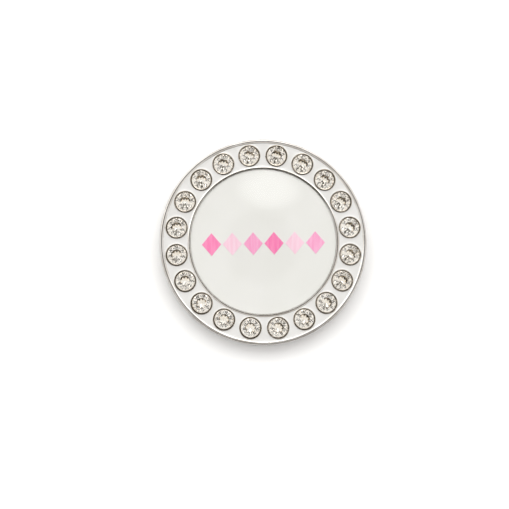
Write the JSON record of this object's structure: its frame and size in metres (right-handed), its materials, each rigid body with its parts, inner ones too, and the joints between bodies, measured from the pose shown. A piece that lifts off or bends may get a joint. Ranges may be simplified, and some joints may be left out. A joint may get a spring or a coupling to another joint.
{
  "type": "golf ball marker",
  "caption": "Round metal golf ball marker with a ring of faceted stones set in white enamel round a printed label under a clear resin dome.",
  "frame": {"origin": "centre of the flat back face, which is the face the marker rests on", "axes": "+Z out of the back, through the disc to the top of the resin dome; +X along the printed row, square with the ring of stones; +Y to the top of the print"},
  "size_m": [0.0254, 0.0254, 0.0028],
  "materials": {
    "nickel_plate": "polished plating on a zinc casting",
    "white_enamel": "gloss soft enamel",
    "adhesive_film": "clear film",
    "label": "off-white printed film",
    "pink_ink": "printed ink in three pinks",
    "clear_resin": "clear gloss doming resin",
    "crystal": "cut glass with a silver foil on the underside",
    "stone_glue": "clear epoxy",
    "steel": "brushed, zinc flashed"
  },
  "bodies": {
    "root": {"marker_body": "nickel_plate", "enamel_ring": "white_enamel", "label_adhesive": "adhesive_film", "printed_label": "label", "printed_lozenges": "pink_ink", "resin_dome": "clear_resin", "stone_01": "crystal", "stone_02": "crystal", "stone_03": "crystal", "stone_04": "crystal", "stone_05": "crystal", "stone_06": "crystal", "stone_07": "crystal", "stone_08": "crystal", "stone_09": "crystal", "stone_10": "crystal", "stone_11": "crystal", "stone_12": "crystal", "stone_13": "crystal", "stone_14": "crystal", "stone_15": "crystal", "stone_16": "crystal", "stone_17": "crystal", "stone_18": "crystal", "stone_19": "crystal", "stone_20": "crystal", "stone_adhesive": "stone_glue", "steel_disc": "steel", "steel_disc_adhesive": "adhesive_film"}
  },
  "joints": []
}
